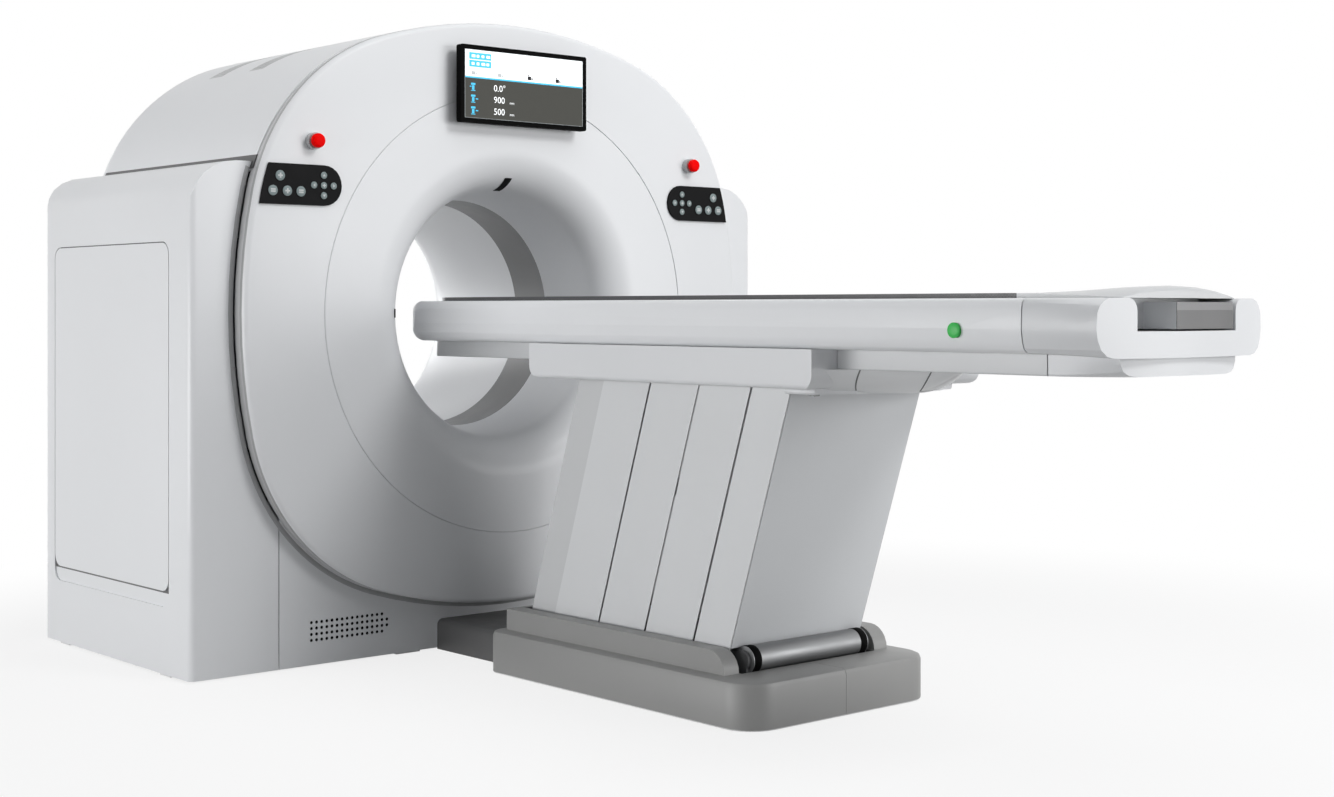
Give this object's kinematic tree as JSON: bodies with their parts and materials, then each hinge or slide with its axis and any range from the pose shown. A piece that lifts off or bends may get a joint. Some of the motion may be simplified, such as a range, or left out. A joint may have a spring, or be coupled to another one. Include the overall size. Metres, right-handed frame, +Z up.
{
  "type": "ct scanner",
  "caption": "Medical CT scanner: ring gantry with a bell-mouthed bore and spinning rotor, plus a swing-lift patient table with a sliding cradle.",
  "frame": {"origin": "on the floor under the isocentre, in the scan plane, at the middle of the gantry's anchor holes", "axes": "+Z up, +Y along the bore from the table into the gantry, +X to the right for a person facing the front"},
  "size_m": [2.06, 3.367, 1.847],
  "materials": {
    "white_cover": "painted moulding",
    "grey_trim": "satin",
    "window_film": "satin film",
    "black_gloss": "gloss",
    "screen": "lit screen",
    "stop_red": "gloss",
    "frame_paint": "powder coat",
    "bearing_steel": "ground",
    "belt_rubber": "ribbed",
    "rotor_alloy": "machined",
    "slip_brass": "turned",
    "rotor_box": "powder coat",
    "duct_grey": "satin",
    "plinth_grey": "satin",
    "lift_grey": "satin paint",
    "table_grey": "satin",
    "cradle_carbon": "woven laminate",
    "button_green": "gloss"
  },
  "bodies": {
    "fixed_structure": {"gantry_base": "frame_paint", "stator_frame": "frame_paint", "front_cover": "white_cover", "front_funnel": "white_cover", "front_trim_band": "grey_trim", "rear_cover": "white_cover", "rear_funnel": "white_cover", "top_cover": "white_cover", "top_grilles": "grey_trim", "left_side_cover": "white_cover", "right_side_cover": "white_cover", "service_panels": "white_cover", "front_base_cover": "white_cover", "rear_base_cover": "white_cover", "bore_window": "window_film", "laser_windows": "black_gloss", "display_housing": "black_gloss", "display_screen": "screen", "left_control_panel": "black_gloss", "right_control_panel": "black_gloss", "estop_collars": "grey_trim", "bearing_outer_ring": "bearing_steel", "brush_block": "frame_paint", "drive_motor": "frame_paint", "drive_belt": "belt_rubber", "link_duct": "duct_grey", "table_floor_frame": "frame_paint", "plinth_covers": "plinth_grey", "base_guard": "plinth_grey"},
    "rotor": {"rotor_drum": "rotor_alloy", "bearing_inner_ring": "bearing_steel", "slip_ring": "slip_brass", "xray_tube": "rotor_alloy", "collimator": "rotor_alloy", "detector": "rotor_box", "hv_tank": "rotor_box", "tube_cooler": "rotor_alloy"},
    "motor_pulley": {"motor_pulley": "bearing_steel"},
    "left_stop": {"left_estop": "stop_red"},
    "right_stop": {"right_estop": "stop_red"},
    "front_arm": {"front_lift_arm": "lift_grey", "lift_end_panel": "lift_grey"},
    "rear_arm": {"rear_lift_arm": "lift_grey"},
    "carriage": {"lift_carriage": "frame_paint", "carriage_tray": "table_grey", "carriage_tail_cover": "table_grey", "table_rail": "table_grey", "table_top_frame": "white_cover", "table_tail_cover": "white_cover"},
    "cradle": {"cradle_board": "cradle_carbon", "cradle_tail": "grey_trim"},
    "release_button": {"release_button": "button_green"},
    "slats_1": {"side_slats_1": "lift_grey"},
    "slats_2": {"side_slats_2": "lift_grey"},
    "slats_3": {"side_slats_3": "lift_grey"},
    "slats_4": {"side_slats_4": "lift_grey"},
    "slats_5": {"side_slats_5": "lift_grey"}
  },
  "joints": [
    {"name": "rotor_spin", "type": "hinge", "parent": "fixed_structure", "child": "rotor", "pos_m": [0, 0, 0.985], "axis": [0, 1, 0], "continuous": true},
    {"name": "pulley_spin", "type": "hinge", "parent": "fixed_structure", "child": "motor_pulley", "pos_m": [0.6, 0, 0.31], "axis": [0, 1, 0], "continuous": true},
    {"name": "lift", "type": "hinge", "parent": "fixed_structure", "child": "front_arm", "pos_m": [0, -1.595, 0.14], "axis": [1, 0, 0], "range_deg": [0, 38]},
    {"name": "rear_arm_swing", "type": "hinge", "parent": "fixed_structure", "child": "rear_arm", "pos_m": [0, -0.905, 0.14], "axis": [1, 0, 0], "range_deg": [0, 38]},
    {"name": "slat_1_swing", "type": "hinge", "parent": "fixed_structure", "child": "slats_1", "pos_m": [0, -1.49925, 0.14], "axis": [1, 0, 0], "range_deg": [0, 38]},
    {"name": "slat_2_swing", "type": "hinge", "parent": "fixed_structure", "child": "slats_2", "pos_m": [0, -1.3335, 0.14], "axis": [1, 0, 0], "range_deg": [0, 38]},
    {"name": "slat_3_swing", "type": "hinge", "parent": "fixed_structure", "child": "slats_3", "pos_m": [0, -1.1425, 0.14], "axis": [1, 0, 0], "range_deg": [0, 38]},
    {"name": "slat_4_swing", "type": "hinge", "parent": "fixed_structure", "child": "slats_4", "pos_m": [0, -0.94875, 0.14], "axis": [1, 0, 0], "range_deg": [0, 38]},
    {"name": "slat_5_swing", "type": "hinge", "parent": "fixed_structure", "child": "slats_5", "pos_m": [0, -0.8065, 0.14], "axis": [1, 0, 0], "range_deg": [0, 38]},
    {"name": "carriage_level", "type": "hinge", "parent": "front_arm", "child": "carriage", "pos_m": [0, -1.8235, 0.835], "axis": [1, 0, 0], "range_deg": [-38, 0]},
    {"name": "cradle_slide", "type": "slide", "parent": "carriage", "child": "cradle", "axis": [0, 1, 0], "range_m": [0, 1.5]},
    {"name": "left_stop_press", "type": "slide", "parent": "fixed_structure", "child": "left_stop", "axis": [0, 1, 0], "range_m": [0, 0.006], "stiffness_N_per_m": 900},
    {"name": "right_stop_press", "type": "slide", "parent": "fixed_structure", "child": "right_stop", "axis": [0, 1, 0], "range_m": [0, 0.006], "stiffness_N_per_m": 900},
    {"name": "release_press", "type": "slide", "parent": "carriage", "child": "release_button", "axis": [1, 0, 0], "range_m": [0, 0.004], "stiffness_N_per_m": 800}
  ],
  "couplings": [
    {"joint": "pulley_spin", "follows": "rotor_spin", "ratio": 13.454},
    {"joint": "rear_arm_swing", "follows": "lift", "ratio": 1},
    {"joint": "slat_1_swing", "follows": "lift", "ratio": 1},
    {"joint": "slat_2_swing", "follows": "lift", "ratio": 1},
    {"joint": "slat_3_swing", "follows": "lift", "ratio": 1},
    {"joint": "slat_4_swing", "follows": "lift", "ratio": 1},
    {"joint": "slat_5_swing", "follows": "lift", "ratio": 1},
    {"joint": "carriage_level", "follows": "lift", "ratio": -1}
  ]
}
